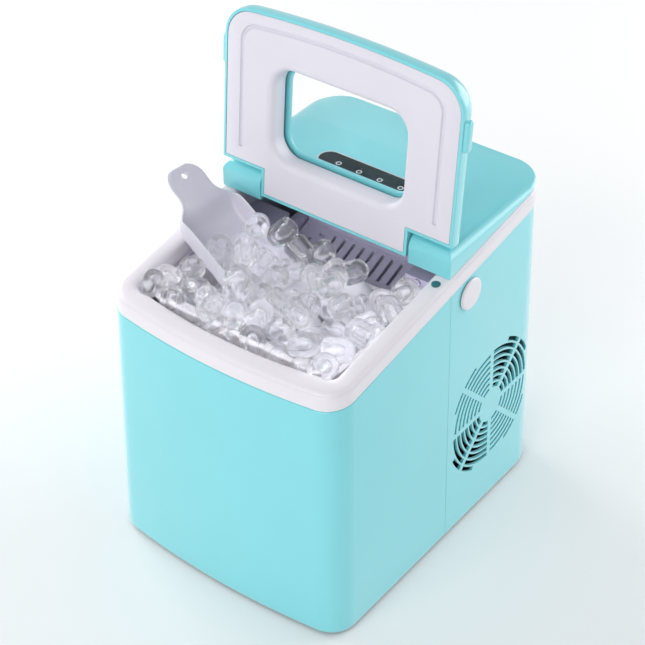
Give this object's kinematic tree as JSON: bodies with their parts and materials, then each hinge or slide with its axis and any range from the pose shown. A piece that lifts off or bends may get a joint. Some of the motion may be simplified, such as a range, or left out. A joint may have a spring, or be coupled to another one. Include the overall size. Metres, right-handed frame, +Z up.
{
  "type": "ice maker",
  "caption": "Counter-top ice maker with open hinged lid, window, lift-out ice basket, scoop, tilting water tray and side fan vent.",
  "frame": {"origin": "centre of the housing on the resting plane, under the feet", "axes": "+Z up, -Y towards the front, +X towards the side with the round fan vent"},
  "size_m": [0.2368, 0.3036, 0.4287],
  "materials": {
    "turquoise_plastic": "satin pale turquoise moulding with a soft sheen",
    "white_plastic": "satin white moulding",
    "liner_plastic": "fine matt off-white moulding with a slight lavender cast",
    "lavender_plastic": "matt lavender-grey moulding",
    "lamp_lens": "pale diffusing lens",
    "clear_window": "clear polished acrylic",
    "clear_hose": "milky silicone",
    "panel_black": "polished black",
    "black_plastic": "fine matt black moulding",
    "rubber": "matt dark rubber",
    "dark_metal": "semi-gloss black enamel",
    "steel": "zinc plated",
    "plated_metal": "tin-nickel plated",
    "aluminium": "mill finish fins",
    "copper": "bright copper, slightly dulled",
    "circuit_board": "green lacquer"
  },
  "bodies": {
    "housing": {"front_shell": "turquoise_plastic", "rear_shell": "turquoise_plastic", "rear_deck": "turquoise_plastic", "top_frame": "white_plastic", "side_cap_left": "white_plastic", "side_cap_right": "white_plastic", "shovel_rail_left": "white_plastic", "shovel_rail_right": "white_plastic", "tray_bearing": "white_plastic", "drain_spout": "white_plastic", "inner_tank": "liner_plastic", "ice_full_sensor": "lavender_plastic", "indicator_left": "lamp_lens", "indicator_right": "lamp_lens", "pump_hose": "clear_hose", "control_panel": "panel_black", "fan_shroud": "black_plastic", "fan_motor": "black_plastic", "water_pump": "black_plastic", "tray_motor": "black_plastic", "power_inlet": "black_plastic", "foot_front_left": "rubber", "foot_front_right": "rubber", "foot_rear_left": "rubber", "foot_rear_right": "rubber", "compressor_mount_1": "rubber", "compressor_mount_2": "rubber", "compressor_mount_3": "rubber", "compressor_mount_4": "rubber", "lid_bumper_left": "rubber", "lid_bumper_right": "rubber", "compressor": "dark_metal", "base_pan": "dark_metal", "base_screw_front_left": "steel", "base_screw_front_right": "steel", "base_screw_rear_left": "steel", "base_screw_rear_right": "steel", "evaporator": "plated_metal", "condenser": "aluminium", "discharge_tube": "copper", "suction_tube": "copper", "filter_drier": "copper", "control_board": "circuit_board"},
    "lid": {"lid_shell": "turquoise_plastic", "lid_liner": "liner_plastic", "lid_window": "clear_window", "hinge_pin_left": "steel", "hinge_pin_right": "steel"},
    "basket": {"ice_basket": "white_plastic"},
    "scoop": {"ice_scoop": "white_plastic"},
    "tray": {"water_tray": "white_plastic"},
    "shovel": {"ice_shovel": "lavender_plastic"},
    "fan": {"fan_rotor": "black_plastic"},
    "power_key": {"power_button": "white_plastic"},
    "select_key": {"select_button": "white_plastic"},
    "plug": {"drain_plug": "rubber"}
  },
  "joints": [
    {"name": "lid_hinge", "type": "hinge", "parent": "housing", "child": "lid", "pos_m": [0, 0.0135, 0.2783], "axis": [-1, 0, 0], "range_deg": [-104.1, 0]},
    {"name": "basket_lift", "type": "slide", "parent": "housing", "child": "basket", "axis": [0, 0, 1], "range_m": [0, 0.17]},
    {"name": "scoop_slide", "type": "slide", "parent": "basket", "child": "scoop", "axis": [0.8448, -0.0739, -0.5299], "range_m": [0, 0.086]},
    {"name": "tray_tilt", "type": "hinge", "parent": "housing", "child": "tray", "pos_m": [0, 0.084, 0.236], "axis": [-1, 0, 0], "range_deg": [-35, 0]},
    {"name": "shovel_push", "type": "slide", "parent": "housing", "child": "shovel", "axis": [0, -1, 0], "range_m": [0, 0.014]},
    {"name": "fan_spin", "type": "hinge", "parent": "housing", "child": "fan", "pos_m": [0.09, 0.0682, 0.1032], "axis": [1, 0, 0], "continuous": true},
    {"name": "power_press", "type": "slide", "parent": "housing", "child": "power_key", "axis": [0, 0, -1], "range_m": [0, 0.001], "stiffness_N_per_m": 300},
    {"name": "select_press", "type": "slide", "parent": "housing", "child": "select_key", "axis": [0, 0, -1], "range_m": [0, 0.001], "stiffness_N_per_m": 300},
    {"name": "drain_pull", "type": "slide", "parent": "housing", "child": "plug", "axis": [0, 1, 0], "range_m": [0, 0.016]}
  ],
  "couplings": [
    {"joint": "scoop_slide", "follows": "lid_hinge", "m_per_rad": -0.0473},
    {"joint": "shovel_push", "follows": "tray_tilt", "m_per_rad": -0.0229}
  ]
}
